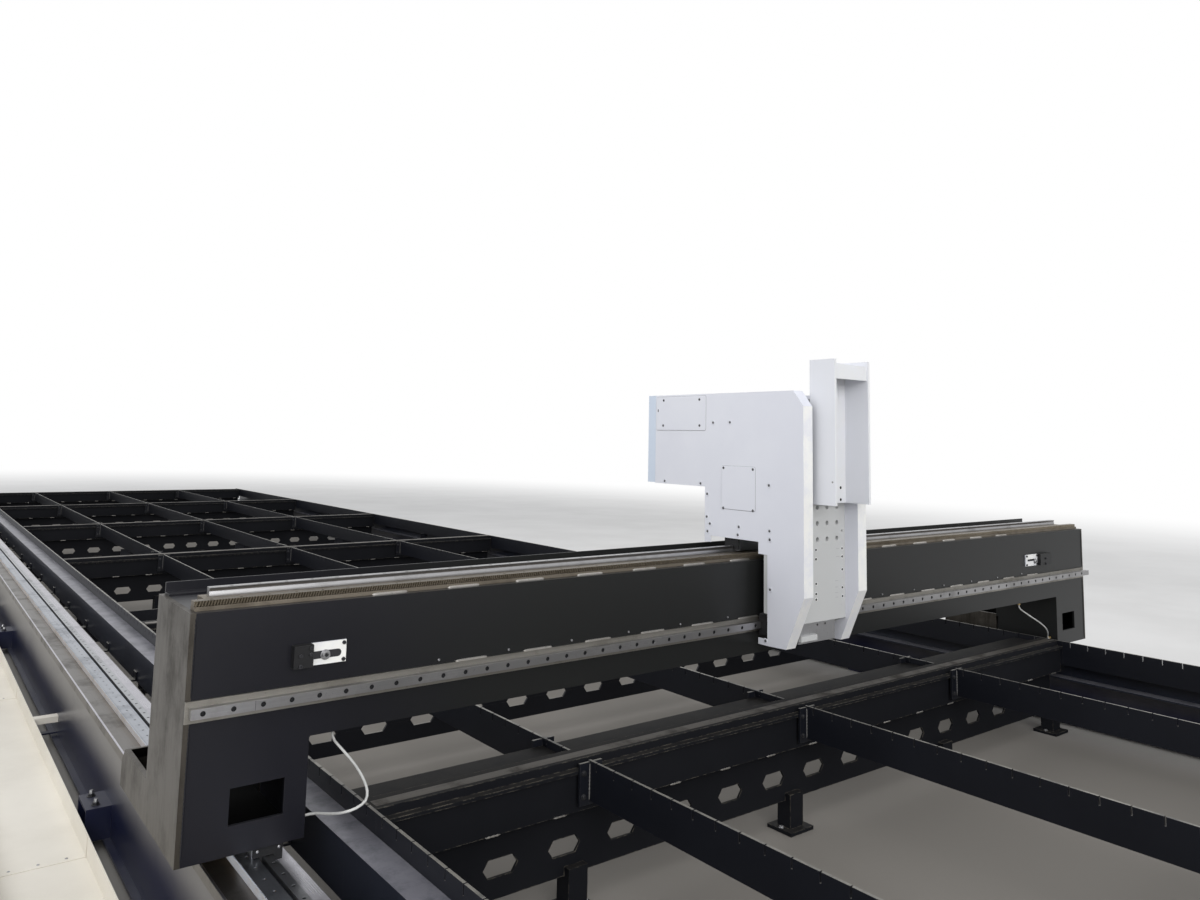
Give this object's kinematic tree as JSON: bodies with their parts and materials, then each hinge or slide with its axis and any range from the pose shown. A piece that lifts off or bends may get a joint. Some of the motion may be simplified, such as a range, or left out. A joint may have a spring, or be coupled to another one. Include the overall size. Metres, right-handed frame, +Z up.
{
  "type": "gantry laser cutting machine",
  "caption": "Long flat-bed laser cutting machine: slotted steel worktable between floor rails, with a travelling gantry, cross carriage and vertical ram.",
  "frame": {"origin": "on the floor, under the middle of the whole machine's bounding box", "axes": "+Z up; +Y along the floor rails, away from the end where the gantry stands; +X across, towards the side without the tray"},
  "size_m": [5.482, 19.4, 1.95],
  "materials": {
    "table_navy": "satin navy-black paint",
    "rail_navy": "semi-gloss navy paint",
    "tray_cream": "satin cream paint",
    "beam_black": "satin black paint",
    "raw_steel": "milled, unpainted",
    "cover_white": "fine-textured white powder coat",
    "block_black": "satin black",
    "tube_white": "translucent white nylon",
    "plate_grey": "fine-textured grey paint",
    "machined_steel": "ground and oiled"
  },
  "bodies": {
    "bed": {"cross_beam_1": "table_navy", "cross_beam_2": "table_navy", "cross_beam_3": "table_navy", "cross_beam_4": "table_navy", "cross_beam_5": "table_navy", "cross_beam_6": "table_navy", "cross_beam_7": "table_navy", "table_frame_1": "table_navy", "table_frame_2": "table_navy", "table_frame_3": "table_navy", "table_frame_4": "table_navy", "table_frame_5": "table_navy", "table_frame_6": "table_navy", "left_rail_beam": "rail_navy", "left_rail_seat": "machined_steel", "left_floor_guide": "machined_steel", "left_floor_rack": "machined_steel", "right_rail_beam": "rail_navy", "right_rail_seat": "machined_steel", "right_floor_guide": "machined_steel", "right_floor_rack": "machined_steel", "cable_tray": "tray_cream"},
    "gantry": {"gantry_beam": "beam_black", "left_end_frame": "raw_steel", "left_front_truck_block": "machined_steel", "left_rear_truck_block": "machined_steel", "right_end_frame": "raw_steel", "right_front_truck_block": "machined_steel", "right_rear_truck_block": "machined_steel", "front_rail_pad": "raw_steel", "front_guide_rail": "machined_steel", "top_rack_pad": "raw_steel", "top_rack": "machined_steel", "top_rail_pad": "raw_steel", "top_guide_rail": "machined_steel", "rear_upstand": "beam_black", "left_stop_plate": "cover_white", "left_stop_block": "block_black", "right_stop_plate": "cover_white", "right_stop_block": "block_black", "left_lube_tube": "tube_white", "right_lube_tube": "tube_white"},
    "carriage": {"carriage_body": "plate_grey", "lower_plate": "raw_steel", "lower_bar": "plate_grey", "left_front_carriage_block": "machined_steel", "right_front_carriage_block": "machined_steel", "left_top_carriage_block": "machined_steel", "right_top_carriage_block": "machined_steel", "left_cover": "cover_white", "right_cover": "cover_white", "back_cover": "cover_white", "upper_access_plate": "cover_white", "lower_access_plate": "cover_white", "left_ram_block": "machined_steel", "right_ram_block": "machined_steel"},
    "ram": {"ram_channel": "cover_white", "left_ram_rail": "machined_steel", "right_ram_rail": "machined_steel"}
  },
  "joints": [
    {"name": "gantry_travel", "type": "slide", "parent": "bed", "child": "gantry", "axis": [0, 1, 0], "range_m": [-3.15, 14.95]},
    {"name": "carriage_travel", "type": "slide", "parent": "gantry", "child": "carriage", "axis": [1, 0, 0], "range_m": [-1.75, 1.8]},
    {"name": "ram_travel", "type": "slide", "parent": "carriage", "child": "ram", "axis": [0, 0, 1], "range_m": [-0.35, 0]}
  ]
}
